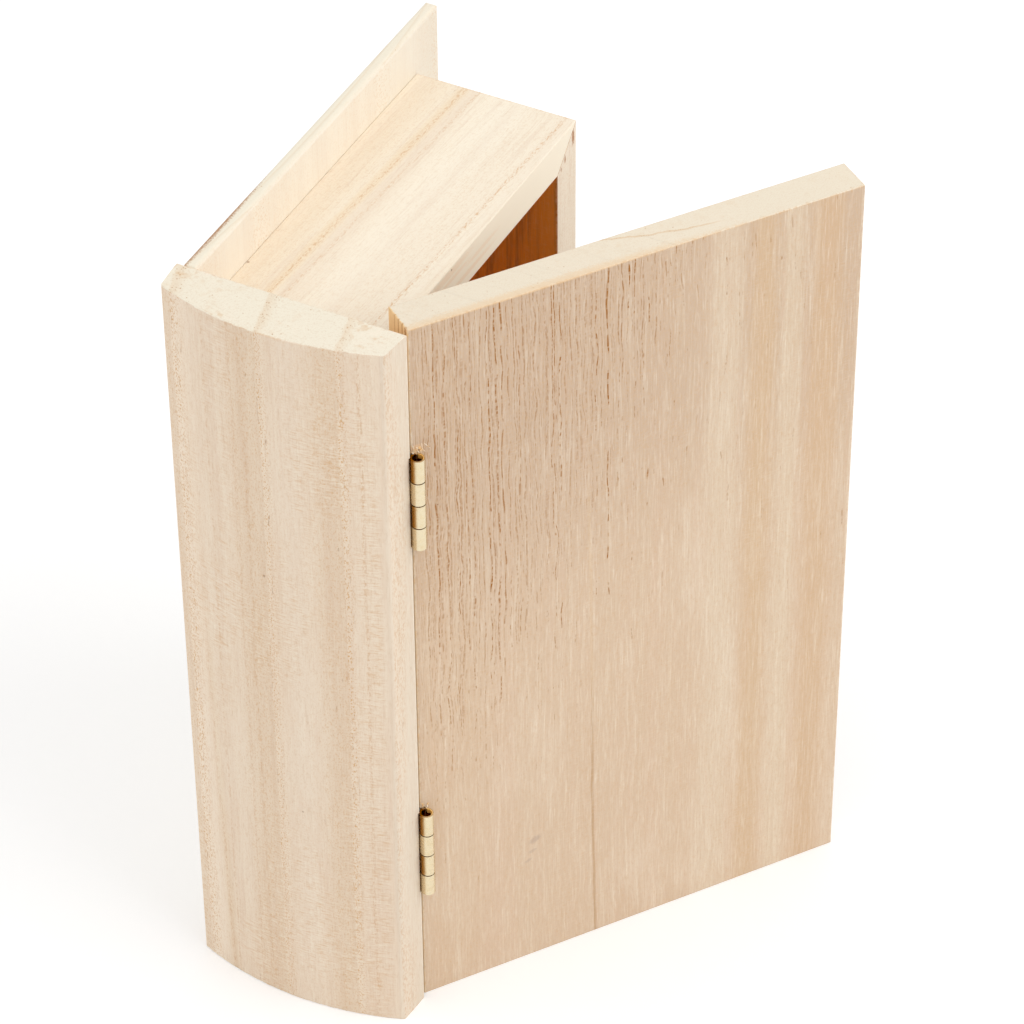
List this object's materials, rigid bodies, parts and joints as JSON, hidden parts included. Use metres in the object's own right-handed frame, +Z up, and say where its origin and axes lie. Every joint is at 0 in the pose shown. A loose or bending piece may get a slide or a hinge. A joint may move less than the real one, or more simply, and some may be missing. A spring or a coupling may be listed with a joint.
{
  "type": "book-shaped box",
  "caption": "Plain wooden box shaped like a standing book, with a rounded spine, a mitred tray inside and a front cover that swings on small brass butt hinges.",
  "frame": {"origin": "middle of the spine's foot, on the surface that the box stands on", "axes": "+Z up along the book's height, -Y out of the rounded spine, +Y to the fore-edge, +X out of the closed front cover"},
  "size_m": [0.1081, 0.112, 0.18],
  "materials": {
    "spine_wood": "sanded, unfinished",
    "front_cover_wood": "sanded, unfinished",
    "back_cover_wood": "sanded, unfinished",
    "tray_wood": "sanded, unfinished",
    "hinge_brass": "bright, lightly worn",
    "pin_brass": "dull",
    "screw_brass": "bright"
  },
  "bodies": {
    "box": {"spine": "spine_wood", "back_cover": "back_cover_wood", "top_board": "tray_wood", "bottom_board": "tray_wood", "fore_edge_board": "tray_wood", "spine_side_board": "tray_wood", "upper_spine_leaf": "hinge_brass", "upper_hinge_pin": "pin_brass", "upper_spine_screw_high": "screw_brass", "upper_spine_screw_low": "screw_brass", "lower_spine_leaf": "hinge_brass", "lower_hinge_pin": "pin_brass", "lower_spine_screw_high": "screw_brass", "lower_spine_screw_low": "screw_brass"},
    "cover": {"front_cover": "front_cover_wood", "upper_cover_leaf": "hinge_brass", "upper_cover_screw_high": "screw_brass", "upper_cover_screw_low": "screw_brass", "lower_cover_leaf": "hinge_brass", "lower_cover_screw_high": "screw_brass", "lower_cover_screw_low": "screw_brass"}
  },
  "joints": [
    {"name": "front_cover_hinge", "type": "hinge", "parent": "box", "child": "cover", "pos_m": [0.02625, 0.0068, 0.09], "axis": [0, 0, -1], "range_deg": [-36, 164]}
  ]
}
